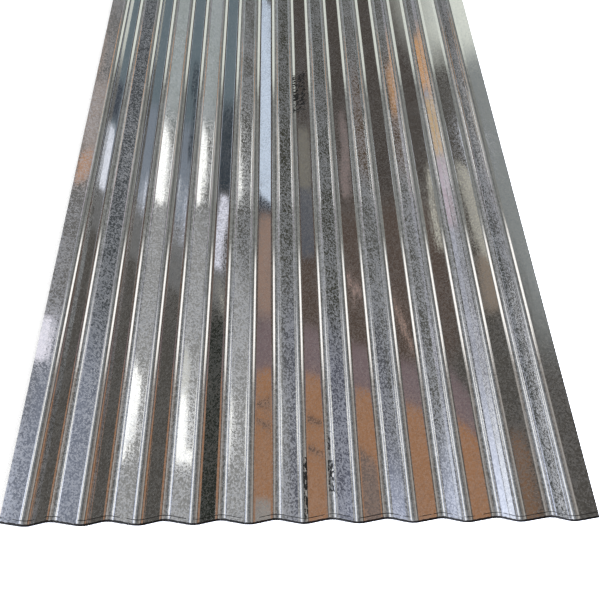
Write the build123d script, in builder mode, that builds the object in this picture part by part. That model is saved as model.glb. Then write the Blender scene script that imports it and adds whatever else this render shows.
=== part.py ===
# Corrugated galvanised roofing sheet, one rolled piece of steel.
# Millimetres. X runs across the waves, Y along them and Z up. The troughs rest on Z = 0,
# and the origin is under the middle of the sheet, at the centre of the middle trough.

from build123d import *
import os
from math import asin, atan2, cos, degrees, hypot, radians, sin

# Driving dimensions
pitch = 75.0  # crest to crest
wave_depth = 17.5  # trough to crest, measured on one side of the sheet
bend_radius = 14.75  # inside radius of every rolled bend
thickness = 0.5  # galvanised sheet
crest_count = 10  # whole crests between the two edges
edge_flank = 25.7  # straight sheet left past the outermost trough's bend
sheet_length = 1800.0  # cut length, along the waves

# The wave follows the middle of the sheet's thickness: a straight flank, a bend, a flank,
# and so on. The flank is the inner tangent of the two bends' circles, whose centres stand
# half a pitch apart, and one above the other by what the bends leave of the depth.
middle_radius = bend_radius + thickness / 2
centre_rise = 2 * middle_radius - wave_depth
centre_distance = hypot(pitch / 2, centre_rise)
flank_angle = degrees(asin(2 * middle_radius / centre_distance) - atan2(centre_rise, pitch / 2))
bend_reach = middle_radius * sin(radians(flank_angle))
flank = (pitch / 2 - 2 * bend_reach) / cos(radians(flank_angle))

# Both edges turn up and stop short of the next crest.
trough_count = crest_count + 1
bend_count = crest_count + trough_count
edge_x = crest_count * pitch / 2 + bend_reach + edge_flank * cos(radians(flank_angle))
bend_rise = middle_radius * (1 - cos(radians(flank_angle)))
edge_z = thickness / 2 + bend_rise + edge_flank * sin(radians(flank_angle))
down_flank = (cos(radians(flank_angle)), -sin(radians(flank_angle)))

os.makedirs("parts", exist_ok=True)

# The whole sheet: its line across the waves, given its thickness and carried along them
with BuildPart() as corrugated_sheet:
    with BuildSketch(Plane.XZ) as cross_section:
        with BuildLine() as sheet_line:
            run = PolarLine((-edge_x, edge_z), edge_flank, direction=down_flank)
            for bend in range(bend_count):
                turn = 2 * flank_angle if bend % 2 == 0 else -2 * flank_angle
                roll = JernArc(run @ 1, run % 1, middle_radius, turn)
                length = edge_flank if bend == bend_count - 1 else flank
                run = PolarLine(roll @ 1, length, direction=roll % 1)
        trace(line_width=thickness)
    extrude(amount=sheet_length / 2, both=True)

corrugated_sheet.part.label = "corrugated_sheet"
export_step(corrugated_sheet.part, "parts/corrugated_sheet.step")
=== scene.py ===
# Corrugated galvanised sheet, dressed for its picture.
# Metres, in the frame of the solid model: X across the waves, Y along them, Z up, the
# troughs on Z = 0 and the origin under the middle of the sheet.

import math

import bpy
import numpy as np
from bpy.props import FloatProperty, FloatVectorProperty, IntProperty, PointerProperty
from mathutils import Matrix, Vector


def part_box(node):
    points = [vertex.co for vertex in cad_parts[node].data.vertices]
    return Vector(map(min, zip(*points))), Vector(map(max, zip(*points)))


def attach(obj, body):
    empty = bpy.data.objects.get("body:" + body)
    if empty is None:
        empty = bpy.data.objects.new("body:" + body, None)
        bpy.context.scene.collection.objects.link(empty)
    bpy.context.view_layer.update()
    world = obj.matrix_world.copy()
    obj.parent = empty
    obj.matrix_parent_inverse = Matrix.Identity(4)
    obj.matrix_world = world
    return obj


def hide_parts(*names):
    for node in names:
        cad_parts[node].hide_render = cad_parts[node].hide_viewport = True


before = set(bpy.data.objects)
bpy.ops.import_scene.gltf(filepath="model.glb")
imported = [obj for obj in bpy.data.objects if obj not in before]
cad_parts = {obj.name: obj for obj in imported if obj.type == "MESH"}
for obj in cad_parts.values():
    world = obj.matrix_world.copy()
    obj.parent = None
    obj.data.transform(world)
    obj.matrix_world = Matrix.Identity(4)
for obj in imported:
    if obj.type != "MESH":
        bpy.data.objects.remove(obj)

bl_info = {
    "name": "Corrugated galvanised sheet",
    "version": (1, 0, 0),
    "blender": (4, 5, 0),
    "location": "3D View > Sidebar > Corrugated sheet",
    "description": "Rolls a galvanised sheet into even waves and lights it with soft panels",
    "category": "Object",
}

NODE = "corrugated_sheet"
BODY = "root"
MILLIMETRE = 0.001

LOW, HIGH = (np.array(corner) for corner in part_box(NODE))


# Sizes and finishes that a user would change


class SheetSizes(bpy.types.PropertyGroup):
    """The rolled section and how true the sheet lies."""

    pitch: FloatProperty(
        name="Pitch", description="Crest to crest", default=0.075, min=0.01, unit="LENGTH"
    )
    wave_depth: FloatProperty(
        name="Depth", description="Trough to crest, on one side", default=0.0175, min=0.001, unit="LENGTH"
    )
    bend_radius: FloatProperty(
        name="Inside bend radius", description="Of every rolled bend", default=0.01475, unit="LENGTH"
    )
    thickness: FloatProperty(
        name="Thickness", description="Gauge with its zinc", default=0.0005, unit="LENGTH"
    )
    crest_count: IntProperty(
        name="Crests", description="Whole crests between the two edges", default=10, min=1
    )
    edge_flank: FloatProperty(
        name="Edge flank",
        description="Straight sheet past the outermost bend",
        default=0.0257,
        unit="LENGTH",
    )
    sheet_length: FloatProperty(
        name="Length", description="Along the waves", default=float(HIGH[1] - LOW[1]), unit="LENGTH"
    )
    sway: FloatProperty(
        name="Sway", description="How far the flanks wander from true", default=0.000022, unit="LENGTH"
    )


class SheetFinish(bpy.types.PropertyGroup):
    """The hot-dip zinc, its grains and what has marked it."""

    zinc: FloatVectorProperty(
        name="Zinc",
        description="Colour of the bright zinc",
        subtype="COLOR",
        default=(0.69, 0.69, 0.68),
    )
    dull_zinc: FloatVectorProperty(
        name="Dull zinc",
        description="Colour of the darkest grains",
        subtype="COLOR",
        default=(0.60, 0.61, 0.62),
    )
    scuff: FloatVectorProperty(
        name="Scuff",
        description="Colour of scratches and dirt",
        subtype="COLOR",
        default=(0.008, 0.008, 0.008),
    )
    # The cut edge's colour is bare steel darkened well below steel's own, as painted shade: the dark line
    # along the sheet's ends.
    cut_edge_and_shade: FloatVectorProperty(
        name="Cut edge",
        description="Bare steel of the sheared edge",
        subtype="COLOR",
        default=(0.03, 0.03, 0.032),
    )
    grain: FloatProperty(
        name="Grain", description="Width of a zinc grain", default=0.0021, unit="LENGTH"
    )
    grain_tilt: FloatProperty(
        name="Grain tilt", description="How far a grain leans from the sheet, as a slope", default=0.0013
    )
    roll_tilt: FloatProperty(
        name="Roll marks", description="How far the rolls' long marks lean, as a slope", default=0.0022
    )
    patina: FloatProperty(
        name="Patina", description="Share of a frosted grain that is oxide", default=0.053, subtype="FACTOR"
    )
    bright_roughness: FloatProperty(
        name="Bright roughness", description="Of the mirror-like grains", default=0.03, subtype="FACTOR"
    )
    dull_roughness: FloatProperty(
        name="Dull roughness", description="Of the frosted grains", default=0.08, subtype="FACTOR"
    )


class Studio(bpy.types.PropertyGroup):
    """Camera, floor and light."""

    lens: FloatProperty(name="Lens", description="Focal length in millimetres", default=43.71)
    camera_place: FloatVectorProperty(
        name="Camera place",
        description="Where the camera stands, in metres",
        subtype="XYZ",
        default=(-0.0522, -1.2268, 0.9841),
    )
    camera_turn: FloatVectorProperty(
        name="Camera turn",
        description="How the camera is turned away from looking straight down",
        subtype="EULER",
        default=tuple(math.radians(turn) for turn in (35.523, -2.249, -1.323)),
    )
    floor: FloatVectorProperty(
        name="Floor", description="Plain pale floor", subtype="COLOR", default=(0.84, 0.84, 0.84)
    )
    floor_size: FloatProperty(
        name="Floor size", description="Side of the square floor", default=40.0, unit="LENGTH"
    )
    backdrop: FloatVectorProperty(
        name="Backdrop", description="Plain pale backdrop", subtype="COLOR", default=(0.88, 0.88, 0.88)
    )
    overhead: FloatProperty(
        name="Overhead light", description="Strength of the soft light from above", default=1.5
    )
    overhead_spread: FloatProperty(
        name="Overhead spread",
        description="Width of the soft light",
        subtype="ANGLE",
        default=math.radians(70),
    )
    overhead_turn: FloatVectorProperty(
        name="Overhead turn",
        description="How the soft light is turned away from straight down",
        subtype="EULER",
        default=(math.radians(-12), math.radians(8), 0.0),
    )
    side: FloatProperty(
        name="Side light",
        description="Power of the lamp before the right hand corner, in watts",
        default=405.0,
    )
    side_place: FloatVectorProperty(
        name="Side place", description="Where it stands, in metres", subtype="XYZ", default=(2.2, -1.6, 1.0)
    )
    side_aim: FloatVectorProperty(
        name="Side aim", description="What it points at, in metres", subtype="XYZ", default=(0.0, 0.3, 0.0)
    )
    side_size: FloatProperty(
        name="Side size", description="Side of the lamp's square", default=0.6, unit="LENGTH"
    )
    side_colour: FloatVectorProperty(
        name="Side colour", description="Cool daylight", subtype="COLOR", default=(0.92, 0.96, 1.10)
    )


# Node wiring


def feed(tree, socket, value):
    """Link a socket, or set a constant straight on it."""
    if isinstance(value, bpy.types.NodeSocket):
        tree.links.new(value, socket)
    elif isinstance(value, (tuple, list)) and len(value) == 3 and socket.type == "RGBA":
        socket.default_value = (*value, 1.0)
    else:
        socket.default_value = value


def add(tree, kind, out=0, inputs=(), **settings):
    """Add a node, set its choices, feed its inputs by number or name, and give one output."""
    node = tree.nodes.new(kind)
    for name, value in settings.items():
        setattr(node, name, value)
    for key, value in dict(inputs).items():
        feed(tree, node.inputs[key], value)
    return node.outputs[out]


def maths(tree, operation, *values, clamp=False):
    """One sum or function of numbers."""
    return add(tree, "ShaderNodeMath", 0, dict(enumerate(values)), operation=operation, use_clamp=clamp)


def vector_maths(tree, operation, *values, out=0):
    """One sum or function of vectors."""
    return add(tree, "ShaderNodeVectorMath", out, dict(enumerate(values)), operation=operation)


def scaled(tree, vector, factor):
    """A vector made longer or shorter."""
    return add(tree, "ShaderNodeVectorMath", 0, {0: vector, "Scale": factor}, operation="SCALE")


def fade(tree, value, start, end, low=0.0, high=1.0):
    """Smooth step from low at start to high at end."""
    return add(
        tree,
        "ShaderNodeMapRange",
        0,
        {"Value": value, "From Min": start, "From Max": end, "To Min": low, "To Max": high},
        interpolation_type="SMOOTHSTEP",
    )


def blend_colour(tree, factor, a, b):
    """Colour a where the factor is 0 and b where it is 1."""
    return add(tree, "ShaderNodeMix", 2, {"Factor": factor, 6: a, 7: b}, data_type="RGBA")


def parts_of(tree, vector):
    """The three numbers of a vector or a colour."""
    node = tree.nodes.new("ShaderNodeSeparateXYZ")
    feed(tree, node.inputs[0], vector)
    return list(node.outputs)


def noise(tree, place, scale, layers, strength, stretch=None, out="Fac"):
    """Cloudy noise: its patches a metre, its finer layers and their strength.

    Its patches are longer in a direction where its stretch is under one.
    """
    if stretch is not None:
        place = vector_maths(tree, "MULTIPLY", place, stretch)
    inputs = {"Vector": place, "Scale": scale, "Detail": layers, "Roughness": strength}
    return add(tree, "ShaderNodeTexNoise", out, inputs)


def empty_tree(owner):
    """The node tree of a new material or world, with nothing in it."""
    owner.use_nodes = True
    owner.node_tree.nodes.clear()
    return owner.node_tree


def end_tree(tree, kind, shader):
    """Lead a shader to the tree's output."""
    out = tree.nodes.new(kind)
    tree.links.new(shader, out.inputs["Surface"])


# The rolled sheet

# Steps round a bend, and rows of points along the sheet.
BEND_STEPS = 8
ROWS = 151


def section(sizes):
    """The middle line of the sheet across its waves, with its slope.

    Bend number n stands at half a pitch times n, a trough where n is even and a crest where
    it is odd. Its points lie at x = x_n + R sin(t) and z = rest + R (1 - cos t), upside down
    on a crest, for t from minus to plus the flank angle. The flank from one bend to the next
    is the straight line between their tangent points, and its first and last points lie one
    millimetre inside them, so that it shades flat. Returned are x, z, the slope angle, and
    the place along the row of tangent points, which is a whole number at each of them.
    """
    radius = sizes.bend_radius + sizes.thickness / 2
    half_pitch = sizes.pitch / 2
    centre_rise = 2 * radius - sizes.wave_depth
    flank_angle = math.asin(2 * radius / math.hypot(half_pitch, centre_rise))
    flank_angle -= math.atan2(centre_rise, half_pitch)
    rest = sizes.thickness / 2

    number = np.arange(-sizes.crest_count, sizes.crest_count + 1)[:, None]
    turned = np.where(number % 2 == 0, 1.0, -1.0)
    t = np.linspace(-flank_angle, flank_angle, BEND_STEPS + 1)[None, :]
    bend_x = number * half_pitch + radius * np.sin(t)
    rise = radius * (1 - np.cos(t))
    bend_z = np.where(turned > 0, rest + rise, rest + sizes.wave_depth - rise)
    bend_slope = turned * t
    order = np.arange(len(number))[:, None]
    bend_place = 2 * order + (t + flank_angle) / (2 * flank_angle)

    flank_length = (bend_x[1, 0] - bend_x[0, -1]) / math.cos(flank_angle)
    inside = MILLIMETRE / flank_length
    share = np.array([inside, 1 / 3, 2 / 3, 1 - inside])[None, :]

    def flank(line):
        return line[:-1, -1:] * (1 - share) + line[1:, :1] * share

    def joined(line, between, first, last):
        whole = np.concatenate([line[:-1], between], axis=1).ravel()
        return np.concatenate([first, whole, line[-1], last])

    flank_slope = np.repeat(bend_slope[:-1, -1:], share.size, axis=1)
    flank_place = 2 * order[:-1] + 1 + share
    reach = np.array([1.0, 2 / 3, 1 / 3, inside]) * sizes.edge_flank
    run, climb = reach * math.cos(flank_angle), reach * math.sin(flank_angle)
    side = np.full(reach.size, flank_angle)
    past = reach / sizes.edge_flank

    x = joined(bend_x, flank(bend_x), bend_x[0, 0] - run, bend_x[-1, -1] + run[::-1])
    z = joined(bend_z, flank(bend_z), bend_z[0, 0] + climb, bend_z[-1, -1] + climb[::-1])
    slope = joined(bend_slope, flank_slope, -side, side)
    place = joined(bend_place, flank_place, -past, bend_place[-1, -1] + past[::-1])
    return x, z, slope, place


# A dent is where it lies across and along, its half widths, and how deep it is pressed, all in
# millimetres.
DENTS = (
    (-131.0, -748.0, 8.0, 26.0, 0.20),
    (-131.0, -690.0, 7.0, 34.0, -0.16),
    (-206.0, -735.0, 9.0, 40.0, 0.18),
    (-206.0, -655.0, 8.0, 30.0, -0.10),
    (-56.0, -705.0, 8.0, 30.0, 0.12),
    (94.0, -560.0, 9.0, 45.0, 0.10),
    (244.0, -640.0, 8.0, 50.0, -0.12),
    (-244.0, -420.0, 9.0, 36.0, 0.12),
    (319.0, 120.0, 9.0, 45.0, 0.12),
    (-94.0, 360.0, 9.0, 60.0, 0.14),
)

# The sway of the flanks: the seed of its draws, the sines in each line of it, and their
# shortest and longest wavelength in metres.
SWAY_SEED = 75
SWAY_SINES = 6
SWAY_SHORTEST, SWAY_LONGEST = 0.16, 0.9


def wander(place, along, amount):
    """How far the sheet leaves its true surface, along its normal.

    Every tangent point carries its own slow wave along the sheet, a sum of sines, with the
    longer ones higher. Across a flank the height goes straight from one tangent point's wave
    to the next one's, so a flank twists a little and stays flat.
    """
    draw = np.random.default_rng(SWAY_SEED)
    stations = np.arange(math.floor(place.min()), math.ceil(place.max()) + 1)
    sines = (stations.size, SWAY_SINES, 1)
    length = draw.uniform(SWAY_SHORTEST, SWAY_LONGEST, sines)
    phase = draw.uniform(0, 2 * math.pi, sines)
    height = draw.normal(0, 1, sines) * np.sqrt(length / SWAY_LONGEST)
    line = (height * np.sin(2 * math.pi * along / length + phase)).sum(axis=1) * amount
    index = place - stations[0]
    before = np.clip(np.floor(index).astype(int), 0, stations.size - 2)
    share = (index - before)[:, None]
    return line[before] * (1 - share) + line[before + 1] * share


def dented(x, along):
    """The sum of the dents, each a bell in both directions: depth * exp(-(a^2 + b^2))."""
    where = np.array(DENTS)[:, :, None, None] * MILLIMETRE
    across, lengthwise, width, length, depth = (where[:, part] for part in range(5))
    a = (x[None, :, None] - across) / width
    b = (along[None, None, :] - lengthwise) / length
    return -(depth * np.exp(-(a**2) - b**2)).sum(axis=0)


def rolled_surface(sizes):
    """Both faces of the sheet on one grid of places across and along.

    A point is the middle line's, carried along Y, moved along the section's normal by what
    the sheet wanders, and then half a thickness up for the top and down for the underside.
    """
    x, z, slope, place = section(sizes)
    centre = (LOW[1] + HIGH[1]) / 2
    along = np.linspace(centre - sizes.sheet_length / 2, centre + sizes.sheet_length / 2, ROWS)
    leave = wander(place, along, sizes.sway) + dented(x, along)
    normal = np.stack([-np.sin(slope), np.cos(slope)], axis=1)[:, None, :]
    middle = np.stack([x, z], axis=1)[:, None, :] + normal * leave[:, :, None]
    faces = []
    for side in (1, -1):
        flat = middle + normal * side * sizes.thickness / 2
        points = np.empty((x.size, along.size, 3))
        points[..., 0] = flat[..., 0]
        points[..., 1] = along
        points[..., 2] = flat[..., 1]
        faces.append(np.clip(points, LOW, HIGH))
    developed = np.concatenate([[0.0], np.cumsum(np.hypot(np.diff(x), np.diff(z)))])
    return faces[0], faces[1], developed, along


def quads(rows, columns, start, flip):
    """Four corner numbers for each cell of a grid of points that is numbered row by row."""
    number = start + np.arange(rows * columns).reshape(rows, columns)
    corners = [number[:-1, :-1], number[1:, :-1], number[1:, 1:], number[:-1, 1:]]
    cells = np.stack(corners, axis=-1).reshape(-1, 4)
    return cells[:, ::-1] if flip else cells


def rim(upper, lower):
    """A strip of cells between two lines of points, facing left as one walks along them."""
    return np.stack([upper[:-1], lower[:-1], lower[1:], upper[1:]], axis=1)


# Faces that meet at more than this are shaded with a crisp edge between them.
CREASE = math.radians(50)

# The bake map, a square of side one. Each skin is laid flat on it, with its width and length
# and the corner that it starts from. The cut edges stand beside them as upright strips.
TOP_CHART = ((0.74, 0.99), (0.005, 0.005))
UNDER_CHART = ((0.215, 0.99), (0.755, 0.005))
FIRST_STRIP, STRIP_STEP, STRIP_WIDTH = 0.977, 0.006, 0.003
STRIP_START, STRIP_END = 0.005, 0.995


def bake_map(skins, rims, developed, along):
    """Where each corner of each face lies on the bake map.

    A point of a skin is placed by its shares of the developed width and of the length. A rim
    runs up its own strip, in steps of one size.
    """
    u = np.tile(developed[:, None] / developed[-1], (1, along.size))
    v = np.tile((along - along[0]) / (along[-1] - along[0]), (developed.size, 1))
    spread = np.stack([u.ravel(), v.ravel()], axis=1)
    charts = []
    for skin, (size, start) in zip(skins, (TOP_CHART, UNDER_CHART)):
        charts.append(spread[skin % len(spread)] * size + start)
    for turn, strip in enumerate(rims):
        run = np.linspace(STRIP_START, STRIP_END, len(strip) + 1)
        left = np.full(len(strip), FIRST_STRIP + STRIP_STEP * turn)
        right = left + STRIP_WIDTH
        across = np.stack([left, right, right, left], axis=1)
        up = np.stack([run[:-1], run[:-1], run[1:], run[1:]], axis=1)
        charts.append(np.stack([across, up], axis=2))
    return np.concatenate(charts).reshape(-1, 2).astype(np.float32)


def sheet_mesh(sizes):
    """The closed skin of the sheet: top, underside and four cut edges, with its bake map."""
    top, under, developed, along = rolled_surface(sizes)
    across, rows = top.shape[:2]
    number = np.arange(across * rows).reshape(across, rows)
    below = number + number.size
    skins = [quads(across, rows, 0, False), quads(across, rows, number.size, True)]
    rims = [
        rim(number[:, 0], below[:, 0]),
        rim(number[-1], below[-1]),
        rim(number[::-1, -1], below[::-1, -1]),
        rim(number[0, ::-1], below[0, ::-1]),
    ]
    faces = np.concatenate(skins + rims)
    points = np.concatenate([top.reshape(-1, 3), under.reshape(-1, 3)])

    mesh = bpy.data.meshes.new(NODE)
    mesh.from_pydata(points.tolist(), [], faces.tolist())
    sheared_faces = np.zeros(len(faces), dtype=np.int32)
    sheared_faces[sum(len(skin) for skin in skins) :] = 1
    mesh.polygons.foreach_set("material_index", sheared_faces)
    mesh.polygons.foreach_set("use_smooth", np.ones(len(faces), dtype=bool))
    mesh.set_sharp_from_angle(angle=CREASE)
    chart = bake_map(skins, rims, developed, along)
    mesh.uv_layers.new(name="OFBake").data.foreach_set("uv", chart.ravel())
    mesh.update()
    return mesh


# Galvanised finish

# Each pattern's patches a metre, finer layers, their strength, and its stretch across, along
# and up, where it has one: the ragged borders of the grains, the clouds of frosting, the long
# marks of the rolls, the nibbled border of the rubbed, painted-shade band at the ends, and the strokes of
# the cut edge.
RAGGED = (900.0, 1.0, 0.5)
CLOUDS = (26.0, 3.0, 0.55, (1.0, 0.45, 1.0))
ROLL_MARKS = (220.0, 1.0, 0.5, (1.0, 0.03, 1.0))
NIBBLES = (260.0, 2.0, 0.5)
STROKES = (700.0, 3.0, 0.6, (1.0, 1.0, 0.2))

# How far the borders of the grains wander, as a share of a grain.
RAGGED_REACH = 0.6

# Where a cloud begins and is full, and how far it pushes a grain's frosting and tone down and
# up. A grain is bright up to one value and all frosted from another, and so with its tone.
CLOUD_BEGINS, CLOUD_FULL = 0.34, 0.68
CLOUD_PUSH = 0.16
BRIGHT_TO, FROSTED_FROM = 0.15, 0.78
PALE_TO, DARK_FROM = 0.50, 0.90

# What marks do: how rough they make the zinc, how much of them is dull and not metal, dirt on the
# scuffs and painted shade at the ends, the share at which they are already all dark, and how much
# the very end of the sheet is marked, rubbed and darkened as painted shade.
MARK_ROUGHNESS = 0.3
MARK_DIRT_AND_SHADE = 0.85
MARK_DARK_FROM = 0.3
END_MARKED_AND_SHADED = 0.85

# The cut edge: how dark its torn strokes are beside its bare steel, where they begin and are
# full in colour and in roughness, and how rough each is.
TORN_SHADE = 0.45
TORN_COLOUR = (0.35, 0.7)
TORN_ROUGH = (0.3, 0.7)
BARE_ROUGHNESS, TORN_ROUGHNESS = 0.35, 0.6

# Scuffed places, the last of them a thin dark line across the whole width, eight millimetres in
# from the near end: centre across and along, half width and half length, soft border and the
# width of the marks, all in millimetres, then the marks' stretch across and along, and how
# strong their pattern has to be before they show.
SCUFFS = (
    ((3.0, -850.0), (2.2, 46.0), 3.0, 3.6, (1.0, 0.40), 0.505),
    ((38.0, -838.0), (3.0, 22.0), 4.0, 3.6, (1.0, 0.50), 0.50),
    ((38.0, -785.0), (2.2, 14.0), 4.0, 3.0, (1.0, 0.45), 0.545),
    ((12.0, 0.0), (11.0, 60.0), 8.0, 5.0, (0.45, 1.0), 0.52),
    # A thin dark line across the whole width, eight millimetres in from the near end.
    ((0.0, -892.0), (405.0, 0.4), 0.7, 26.0, (0.30, 1.0), 0.455),
)

# The layers of a scuff's pattern, their strength, and half the step from clean to marked.
SCUFF_LAYERS, SCUFF_STRENGTH = 3.0, 0.6
SCUFF_STEP = 0.03

# How far in from the cut ends the zinc is rubbed and dirty, and darkened as painted shade.
EDGE_WEAR_AND_SHADE = 2.6 * MILLIMETRE


def box_mask(tree, place, centre, half, soft):
    """One inside a box on the sheet, seen from above, and nothing past its soft border."""
    away = vector_maths(tree, "SUBTRACT", place, tuple(c * MILLIMETRE for c in (*centre, 0)))
    parts = parts_of(tree, vector_maths(tree, "ABSOLUTE", away))
    edges = [
        fade(tree, part, reach * MILLIMETRE, (reach + soft) * MILLIMETRE, 1.0, 0.0)
        for part, reach in zip(parts, half)
    ]
    return maths(tree, "MULTIPLY", *edges)


def zinc_grains(tree, place, finish):
    """A colour at random for each grain, in cells with ragged borders."""
    ragged = noise(tree, place, *RAGGED, out="Color")
    ragged = vector_maths(tree, "SUBTRACT", ragged, (0.5, 0.5, 0.5))
    ragged = scaled(tree, ragged, finish.grain * RAGGED_REACH)
    inputs = {
        "Vector": vector_maths(tree, "ADD", place, ragged),
        "Scale": 1 / finish.grain,
        "Randomness": 1.0,
    }
    return add(tree, "ShaderNodeTexVoronoi", "Color", inputs, feature="F1")


def leaning_normal(tree, place, grain, finish):
    """The surface's normal, leaning one way on each grain and across the rolls' long marks."""
    lean = vector_maths(tree, "SUBTRACT", grain, (0.5, 0.5, 0.5))
    lean = scaled(tree, lean, 2 * finish.grain_tilt)
    rolled = maths(tree, "SUBTRACT", noise(tree, place, *ROLL_MARKS), 0.5)
    rolled = maths(tree, "MULTIPLY", rolled, 4 * finish.roll_tilt)
    rolled = add(tree, "ShaderNodeCombineXYZ", 0, {"X": rolled})
    normal = add(tree, "ShaderNodeNewGeometry", "Normal")
    normal = vector_maths(tree, "ADD", vector_maths(tree, "ADD", normal, lean), rolled)
    return vector_maths(tree, "NORMALIZE", normal)


def scuffs_dirt_and_end_shade(tree, place):
    """One on a scuff and along the cut ends, and nothing on clean zinc; the band along the ends is rubbed
    zinc darkened as painted shade.
    """
    marks = None
    for centre, half, soft, width, stretch, cover in SCUFFS:
        where = box_mask(tree, place, centre, half, soft)
        scale = 1 / (width * MILLIMETRE)
        pattern = noise(tree, place, scale, SCUFF_LAYERS, SCUFF_STRENGTH, (*stretch, 1.0))
        pattern = maths(tree, "MULTIPLY", pattern, where)
        shown = fade(tree, pattern, cover - SCUFF_STEP, cover + SCUFF_STEP)
        marks = shown if marks is None else maths(tree, "MAXIMUM", marks, shown)
    # The band along both cut ends: rubbed zinc, darkened as painted shade for the dark line at the sheet's
    # ends.
    end = maths(tree, "ABSOLUTE", parts_of(tree, place)[1])
    nibble = maths(tree, "MULTIPLY", noise(tree, place, *NIBBLES), EDGE_WEAR_AND_SHADE)
    edge = maths(tree, "ADD", end, nibble)
    worn_and_shaded = fade(tree, edge, HIGH[1] - EDGE_WEAR_AND_SHADE, HIGH[1], 0.0, END_MARKED_AND_SHADED)
    return maths(tree, "MAXIMUM", marks, worn_and_shaded)


def galvanised(finish):
    """Zinc in grains: each grain has its own frosting, lean and tone; scuffs, and the painted shade along
    the cut ends, lie on top.
    """
    material = bpy.data.materials.new("galvanised_zinc")
    tree = empty_tree(material)
    place = add(tree, "ShaderNodeTexCoord", "Object")
    grain = zinc_grains(tree, place, finish)
    frost, tone = parts_of(tree, grain)[1:]
    cloud = noise(tree, place, *CLOUDS)
    patchy = fade(tree, cloud, CLOUD_BEGINS, CLOUD_FULL, -CLOUD_PUSH, CLOUD_PUSH)
    frosting = fade(tree, maths(tree, "ADD", frost, patchy), BRIGHT_TO, FROSTED_FROM)
    darker = fade(tree, maths(tree, "ADD", tone, patchy), PALE_TO, DARK_FROM)
    # The marks are the scuffs and the painted shade along the cut ends.
    marks = scuffs_dirt_and_end_shade(tree, place)

    # A mark is dark before it is dull, so that no pale halo stands round it.
    marked = fade(tree, marks, 0.0, MARK_DARK_FROM)
    colour = blend_colour(tree, darker, tuple(finish.zinc), tuple(finish.dull_zinc))
    colour = blend_colour(tree, marked, colour, tuple(finish.scuff))
    roughness = fade(tree, frosting, 0.0, 1.0, finish.bright_roughness, finish.dull_roughness)
    rubbed = maths(tree, "MULTIPLY", marks, MARK_ROUGHNESS)
    roughness = maths(tree, "ADD", roughness, rubbed, clamp=True)
    oxide = maths(tree, "MULTIPLY", frosting, finish.patina)
    oxide = maths(tree, "ADD", oxide, maths(tree, "MULTIPLY", marks, MARK_DIRT_AND_SHADE))
    inputs = {
        "Base Color": colour,
        "Metallic": maths(tree, "SUBTRACT", 1.0, oxide, clamp=True),
        "Roughness": roughness,
        "Normal": leaning_normal(tree, place, grain, finish),
    }
    end_tree(tree, "ShaderNodeOutputMaterial", add(tree, "ShaderNodeBsdfPrincipled", 0, inputs))
    return material


def sheared(finish):
    """The sheared edge: bare steel, burnished and torn in fine upright strokes, its colour darkened well
    below steel's own as painted shade along the edge.
    """
    material = bpy.data.materials.new("sheared_edge")
    tree = empty_tree(material)
    place = add(tree, "ShaderNodeTexCoord", "Object")
    strokes = noise(tree, place, *STROKES)
    # The bare steel's colour, darkened as painted shade.
    bare = tuple(finish.cut_edge_and_shade)
    torn = tuple(TORN_SHADE * part for part in bare)
    inputs = {
        "Base Color": blend_colour(tree, fade(tree, strokes, *TORN_COLOUR), bare, torn),
        "Metallic": 1.0,
        "Roughness": fade(tree, strokes, *TORN_ROUGH, BARE_ROUGHNESS, TORN_ROUGHNESS),
    }
    end_tree(tree, "ShaderNodeOutputMaterial", add(tree, "ShaderNodeBsdfPrincipled", 0, inputs))
    return material


# Light
#
# The zinc shows the room. A direction in it is a turn about the sheet's length, in degrees,
# 0 overhead and 90 level to the right, and a lean towards either end, 0 across and 90 level
# along the sheet. Both ends see the same panels.
#
# A panel is its middle turn and lean, its half widths in both, how much its lean grows for
# each degree of turn, how soft its border is, and its light. The first ones lie furthest back.

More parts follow.
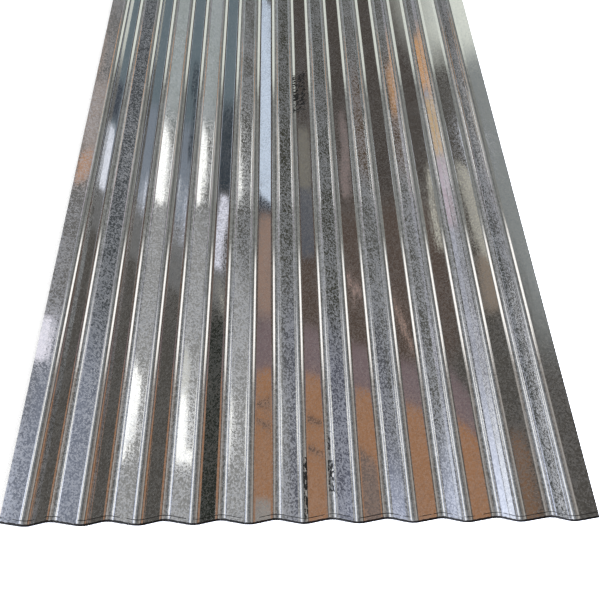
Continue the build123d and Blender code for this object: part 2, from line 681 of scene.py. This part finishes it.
LEFT = {
    "wall": ((-63.5, 30.0), (28.0, 70.0), 0.0, 0.03, (0.10, 0.093, 0.084)),
    "teal sky": ((-76.0, 56.0), (12.0, 10.0), 0.0, 0.20, (0.16, 0.21, 0.24)),
    "blue mist": ((-73.4, 45.3), (3.6, 3.9), -0.25, 0.30, (0.25, 0.29, 0.35)),
    "grey eaves": ((-75.0, 40.0), (9.5, 2.2), -0.43, 0.40, (0.19, 0.19, 0.19)),
    "canopy": ((-52.5, 50.0), (9.0, 12.5), 0.0, 0.20, (0.082, 0.070, 0.062)),
    "dark doorway": ((-66.5, 19.0), (1.6, 15.5), 0.0, 0.20, (0.03, 0.034, 0.028)),
    "lantern": ((-66.25, 35.4), (0.25, 1.0), -4.0, 0.50, (0.50, 0.48, 0.42)),
    "navy, outer": ((-79.2, 49.4), (1.4, 1.4), -0.5, 0.35, (0.055, 0.066, 0.090)),
    "navy, middle": ((-70.4, 49.4), (0.5, 3.6), 0.0, 0.35, (0.035, 0.045, 0.060)),
    "navy, inner": ((-66.5, 47.1), (1.6, 3.4), 0.0, 0.35, (0.045, 0.058, 0.074)),
    "streak, left": ((-71.5, 42.1), (0.22, 2.5), 0.0, 0.30, (1.00, 1.04, 1.12)),
    "streak, right": ((-70.1, 41.6), (0.22, 2.3), 0.0, 0.30, (0.95, 1.00, 1.15)),
    "pale triangle": ((-74.4, 42.9), (0.45, 1.2), 2.0, 0.25, (0.90, 0.94, 1.06)),
    "pale window, outer": ((-79.2, 45.2), (1.10, 2.4), -0.6, 0.10, (1.06, 1.10, 1.23)),
    "pale window, inner": ((-66.5, 40.6), (0.64, 2.95), -0.2, 0.10, (1.02, 1.03, 1.18)),
    "pale blue wall": ((-62.1, 50.2), (1.3, 7.7), -0.9, 0.05, (0.78, 0.90, 1.08)),
    "navy sill": ((-62.1, 42.3), (1.2, 0.9), -0.6, 0.30, (0.06, 0.07, 0.085)),
    "brown ground": ((-52.0, 36.0), (9.0, 6.5), 0.0, 0.40, (0.115, 0.085, 0.070)),
    "rose copper": ((-62.1, 38.0), (1.2, 4.2), 0.0, 0.20, (0.38, 0.26, 0.21)),
    "mauve ground": ((-53.8, 26.0), (10.0, 5.9), -0.38, 0.20, (0.235, 0.175, 0.185)),
    "copper ground": ((-53.8, 20.6), (10.0, 7.7), -0.33, 0.08, (0.43, 0.225, 0.125)),
    "joint 1": ((-60.0, 26.8), (3.4, 0.26), -0.38, 0.60, (0.17, 0.12, 0.10)),
    "joint 2": ((-60.0, 24.9), (3.4, 0.26), -0.55, 0.60, (0.17, 0.12, 0.10)),
    "threshold": ((-62.1, 18.4), (1.2, 1.8), 0.0, 0.30, (0.38, 0.36, 0.34)),
    "heap": ((-53.2, 20.2), (1.0, 3.0), -1.2, 0.30, (0.22, 0.17, 0.15)),
    "blue grey": ((-57.7, 41.6), (1.2, 2.9), 0.0, 0.25, (0.125, 0.133, 0.155)),
    "olive panel": ((-57.8, 46.4), (0.80, 2.3), 0.0, 0.25, (0.25, 0.235, 0.20)),
    "mauve box": ((-53.3, 46.4), (0.45, 3.2), 0.0, 0.20, (0.33, 0.26, 0.25)),
    "arch 1": ((-53.4, 35.9), (0.9, 0.45), -1.9, 0.50, (0.50, 0.36, 0.32)),
    "arch 2": ((-49.1, 33.2), (0.9, 0.55), -3.0, 0.50, (0.48, 0.34, 0.29)),
    "beige slat": ((-43.95, 41.5), (0.34, 3.3), 0.0, 0.25, (0.66, 0.64, 0.56)),
    "tan panel": ((-41.0, 35.2), (0.80, 2.4), 0.0, 0.30, (0.32, 0.26, 0.21)),
    "beige panel": ((-40.9, 40.5), (0.78, 3.7), -0.9, 0.15, (0.56, 0.54, 0.47)),
    "rust corner": ((-41.0, 19.6), (0.60, 4.0), 0.0, 0.40, (0.25, 0.15, 0.095)),
    "plain corner": ((-36.6, 45.0), (1.7, 15.0), 0.0, 0.60, (0.31, 0.33, 0.33)),
    "window seen twice": ((-39.35, 45.2), (0.55, 2.4), 0.0, 0.10, (1.56, 1.62, 1.82)),
    "lamp": ((-23.5, 34.0), (11.0, 5.0), 0.0, 0.50, (1.60, 1.55, 1.50)),
    "lamp, near": ((-27.0, 20.0), (6.0, 11.0), 0.0, 0.40, (0.46, 0.43, 0.40)),
    "dark ridge": ((-1.0, 35.0), (5.0, 40.0), 0.0, 0.60, (0.15, 0.145, 0.14)),
    "lamp, far": ((-23.0, 57.0), (20.0, 5.5), 0.0, 0.40, (0.92, 0.96, 0.88)),
}

RIGHT = {
    "wall": ((70.0, 30.0), (28.5, 70.0), 0.0, 0.03, (0.12, 0.12, 0.11)),
    "paler wall": ((54.2, 24.0), (9.9, 19.0), -1.0, 0.30, (0.35, 0.35, 0.345)),
    "grey wall": ((68.0, 24.0), (4.3, 13.0), 0.0, 0.50, (0.115, 0.12, 0.155)),
    "teal wall": ((50.8, 55.0), (6.5, 6.5), 0.0, 0.60, (0.38, 0.42, 0.415)),
    "dark wall": ((66.6, 47.0), (5.2, 13.0), -1.0, 0.50, (0.062, 0.062, 0.048)),
    "dark ridge": ((3.0, 38.0), (7.0, 40.0), 0.0, 0.60, (0.13, 0.135, 0.13)),
    "lamp": ((33.0, 23.0), (7.5, 11.5), 0.0, 0.40, (1.45, 1.45, 1.42)),
    "lamp, far": ((36.0, 47.0), (8.5, 4.2), 0.0, 0.40, (0.85, 0.85, 0.82)),
    "dark strip": ((46.6, 40.0), (1.6, 40.0), 0.0, 0.30, (0.078, 0.086, 0.092)),
    "edge wall": ((42.5, 40.0), (1.6, 40.0), 0.0, 0.30, (0.19, 0.185, 0.18)),
    "sky, near end": ((44.7, 12.0), (3.4, 19.0), 0.0, 0.50, (0.25, 0.275, 0.345)),
    "sky, fringe": ((74.0, 5.0), (5.6, 16.0), 0.0, 0.70, (0.55, 0.60, 0.78)),
    "outer wall": ((80.8, 36.0), (2.1, 15.0), 0.0, 0.20, (0.39, 0.40, 0.46)),
    "sky": ((80.5, 6.0), (3.7, 18.0), 0.0, 0.80, (1.00, 1.08, 1.32)),
    "rose wall": ((81.1, 42.5), (1.2, 2.7), 0.0, 0.40, (0.56, 0.46, 0.52)),
    "brown wall": ((74.8, 48.8), (4.4, 4.2), 0.0, 0.60, (0.105, 0.072, 0.045)),
    "yellow wall": ((81.2, 47.5), (1.1, 2.2), 0.0, 0.30, (0.64, 0.44, 0.22)),
    "orange wall": ((78.9, 51.6), (2.8, 2.0), 0.4, 0.40, (0.66, 0.36, 0.16)),
    "horizon": ((88.0, 34.0), (5.2, 40.0), 0.0, 0.10, (0.08, 0.085, 0.08)),
    "edge rose": ((42.5, 47.8), (0.9, 2.6), 0.0, 0.40, (0.40, 0.34, 0.31)),
    "edge orange": ((42.5, 44.0), (0.65, 1.2), 0.6, 0.35, (0.60, 0.36, 0.24)),
    "edge window": ((42.3, 30.9), (0.85, 1.7), 0.0, 0.12, (1.15, 1.12, 1.25)),
    "near window 1": ((49.5, 26.5), (1.05, 3.6), -0.8, 0.10, (1.75, 1.75, 1.70)),
    "near window 2": ((54.0, 25.7), (1.00, 2.7), -0.7, 0.12, (1.75, 1.75, 1.70)),
    "near window 2, dim": ((54.1, 30.2), (0.95, 1.9), -1.5, 0.30, (0.80, 0.80, 0.76)),
    "window ledge": ((55.9, 23.0), (2.0, 0.5), -0.35, 0.30, (1.60, 1.60, 1.55)),
    "near window 3": ((57.8, 25.8), (1.0, 2.4), -0.6, 0.20, (1.60, 1.60, 1.55)),
    "far window 1": ((49.7, 45.9), (1.40, 2.9), -0.9, 0.10, (1.75, 1.75, 1.70)),
    "far window 2": ((54.0, 45.8), (1.00, 3.0), -0.7, 0.10, (1.75, 1.75, 1.70)),
    "far window 3": ((58.0, 46.0), (0.90, 3.2), -0.5, 0.10, (2.00, 2.00, 1.92)),
    "horizon seen twice": ((33.6, 30.0), (1.5, 60.0), 0.0, 0.10, (0.15, 0.15, 0.15)),
    "walls seen twice": ((38.9, 49.0), (2.5, 27.0), 0.0, 0.10, (0.44, 0.44, 0.50)),
    "sky seen twice": ((38.7, 5.0), (2.7, 18.5), 0.0, 0.70, (1.35, 1.45, 1.75)),
    "rose wall seen twice": ((37.3, 42.5), (1.2, 2.7), 0.0, 0.40, (0.80, 0.66, 0.74)),
    "yellow wall seen twice": ((37.3, 47.5), (1.2, 2.2), 0.0, 0.30, (0.90, 0.62, 0.32)),
    "orange wall seen twice": ((39.0, 52.4), (2.4, 2.6), 0.0, 0.40, (0.92, 0.52, 0.26)),
}

# What lies behind the panels: low down on either side, high up, and the leans between which
# the one goes over into the other.
ROOM_LOW_LEFT = (0.260, 0.235, 0.215)
ROOM_LOW_RIGHT = (0.270, 0.280, 0.300)
ROOM_HIGH = (0.250, 0.255, 0.240)
ROOM_LOW_ENDS, ROOM_HIGH_STARTS = 30.0, 42.0


def soft_panel(tree, turn, lean, behind, panel):
    """Lay one panel over what lies behind it: a rounded box, where (a^4 + b^4)^(1/2) is under one.

    a and b are the distances from its middle, across and in lean, as shares of its half widths.
    """
    middle, half, fall, soft, light = panel
    level = maths(tree, "MULTIPLY_ADD", turn, -fall, lean) if fall else lean
    place = add(tree, "ShaderNodeCombineXYZ", 0, {"X": turn, "Y": level})
    middle = (middle[0], middle[1] - fall * middle[0])
    scale = (1 / half[0], 1 / half[1], 0.0)
    back = (-middle[0] / half[0], -middle[1] / half[1], 0.0)
    share = vector_maths(tree, "MULTIPLY_ADD", place, scale, back)
    edge = vector_maths(tree, "LENGTH", vector_maths(tree, "MULTIPLY", share, share), out=1)
    return blend_colour(tree, fade(tree, edge, 1 + soft, 1 - soft), behind, light)


def one_side(tree, turn, lean, low, panels):
    """What the zinc shows of one side of the room."""
    light = blend_colour(tree, fade(tree, lean, ROOM_LOW_ENDS, ROOM_HIGH_STARTS), low, ROOM_HIGH)
    for panel in panels.values():
        light = soft_panel(tree, turn, lean, light, panel)
    return add(tree, "ShaderNodeBackground", 0, {"Color": light, "Strength": 1.0})


def room(studio):
    """The light of the room: soft panels for what the zinc mirrors, and a plain backdrop."""
    world = bpy.data.worlds.new("room")
    tree = empty_tree(world)
    x, y, z = parts_of(tree, add(tree, "ShaderNodeTexCoord", "Generated"))
    turn = maths(tree, "DEGREES", maths(tree, "ARCTAN2", x, z))
    lean = maths(tree, "DEGREES", maths(tree, "ARCSINE", maths(tree, "ABSOLUTE", y)))

    left = one_side(tree, turn, lean, ROOM_LOW_LEFT, LEFT)
    right = one_side(tree, turn, lean, ROOM_LOW_RIGHT, RIGHT)
    on_right = maths(tree, "GREATER_THAN", turn, 0.0)
    panels = add(tree, "ShaderNodeMixShader", 0, {0: on_right, 1: left, 2: right})
    colour = tuple(studio.backdrop)
    backdrop = add(tree, "ShaderNodeBackground", 0, {"Color": colour, "Strength": 1.0})
    mirrored = add(tree, "ShaderNodeLightPath", "Is Glossy Ray")
    shown = add(tree, "ShaderNodeMixShader", 0, {0: mirrored, 1: backdrop, 2: panels})
    end_tree(tree, "ShaderNodeOutputWorld", shown)
    return world


# The floor, the lamps and the camera

FLOOR_ROUGHNESS = 0.9
FLOOR_GLOSS = 0.1
SENSOR_WIDTH = 36.0


def lay_floor(scene, studio):
    """A square of level floor under the sheet, in matt paint."""
    half = studio.floor_size / 2
    corners = [(-half, -half, 0), (half, -half, 0), (half, half, 0), (-half, half, 0)]
    mesh = bpy.data.meshes.new("floor")
    mesh.from_pydata(corners, [], [(0, 1, 2, 3)])
    floor = bpy.data.objects.new("floor", mesh)
    scene.collection.objects.link(floor)
    paint = bpy.data.materials.new("pale_floor")
    paint.use_nodes = True
    shader = paint.node_tree.nodes["Principled BSDF"]
    shader.inputs["Base Color"].default_value = (*studio.floor, 1.0)
    shader.inputs["Roughness"].default_value = FLOOR_ROUGHNESS
    shader.inputs["Specular IOR Level"].default_value = FLOOR_GLOSS
    mesh.materials.append(paint)


def hang_lamp(scene, name, kind, power):
    """A lamp that lights the sheet and isn't mirrored in it."""
    light = bpy.data.lights.new(name, kind)
    light.energy = power
    lamp = bpy.data.objects.new(name, light)
    lamp.visible_glossy = False
    scene.collection.objects.link(lamp)
    return light, lamp


def set_lamps(scene, studio):
    """The soft light from above, and the lamp at the side, which looks at its aim."""
    light, overhead = hang_lamp(scene, "overhead", "SUN", studio.overhead)
    light.angle = studio.overhead_spread
    overhead.rotation_euler = studio.overhead_turn

    light, side = hang_lamp(scene, "side", "AREA", studio.side)
    light.color = studio.side_colour
    light.size = studio.side_size
    side.location = studio.side_place
    away = Vector(studio.side_place) - Vector(studio.side_aim)
    side.rotation_euler = away.to_track_quat("Z", "Y").to_euler()


def set_camera(scene, studio):
    """The camera at the picture's angle."""
    data = bpy.data.cameras.new("camera")
    data.lens = studio.lens
    data.sensor_width = SENSOR_WIDTH
    camera = bpy.data.objects.new("camera", data)
    camera.location = studio.camera_place
    camera.rotation_euler = studio.camera_turn
    scene.collection.objects.link(camera)
    scene.camera = camera


# The operators


class SHEET_OT_stage(bpy.types.Operator):
    """Lay the pale floor, light it and set the camera at the picture's angle"""

    bl_idname = "sheet.stage"
    bl_label = "Studio"

    def execute(self, context):
        scene = context.scene
        studio = scene.sheet_studio
        lay_floor(scene, studio)
        set_lamps(scene, studio)
        scene.world = room(studio)
        set_camera(scene, studio)
        scene.view_settings.view_transform = "Standard"
        return {"FINISHED"}


class SHEET_OT_corrugated_sheet(bpy.types.Operator):
    """Roll the sheet and give it its galvanised finish"""

    bl_idname = "sheet.corrugated_sheet"
    bl_label = "Corrugated sheet"

    def execute(self, context):
        sizes = context.scene.sheet_sizes
        finish = context.scene.sheet_finish
        mesh = sheet_mesh(sizes)
        if not len(mesh.polygons):
            raise RuntimeError("the sheet has no faces")
        mesh.materials.append(galvanised(finish))
        mesh.materials.append(sheared(finish))
        piece = bpy.data.objects.new("dressed_sheet", mesh)
        context.scene.collection.objects.link(piece)
        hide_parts(NODE)
        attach(piece, BODY)
        return {"FINISHED"}


class SHEET_PT_panel(bpy.types.Panel):
    bl_label = "Corrugated sheet"
    bl_idname = "SHEET_PT_panel"
    bl_space_type = "VIEW_3D"
    bl_region_type = "UI"
    bl_category = "Corrugated sheet"

    def draw(self, context):
        scene = context.scene
        column = self.layout.column()
        for kind in (SHEET_OT_stage, SHEET_OT_corrugated_sheet):
            column.operator(kind.bl_idname)
        for group in (scene.sheet_sizes, scene.sheet_finish, scene.sheet_studio):
            box = self.layout.box()
            for name in group.__annotations__:
                box.prop(group, name)


CLASSES = (
    SheetSizes,
    SheetFinish,
    Studio,
    SHEET_OT_stage,
    SHEET_OT_corrugated_sheet,
    SHEET_PT_panel,
)


def register():
    for kind in CLASSES:
        bpy.utils.register_class(kind)
    bpy.types.Scene.sheet_sizes = PointerProperty(type=SheetSizes)
    bpy.types.Scene.sheet_finish = PointerProperty(type=SheetFinish)
    bpy.types.Scene.sheet_studio = PointerProperty(type=Studio)


def unregister():
    del bpy.types.Scene.sheet_studio
    del bpy.types.Scene.sheet_finish
    del bpy.types.Scene.sheet_sizes
    for kind in reversed(CLASSES):
        bpy.utils.unregister_class(kind)


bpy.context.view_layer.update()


def main():
    register()
    bpy.ops.sheet.stage()
    bpy.ops.sheet.corrugated_sheet()


if __name__ == "__main__":
    main()
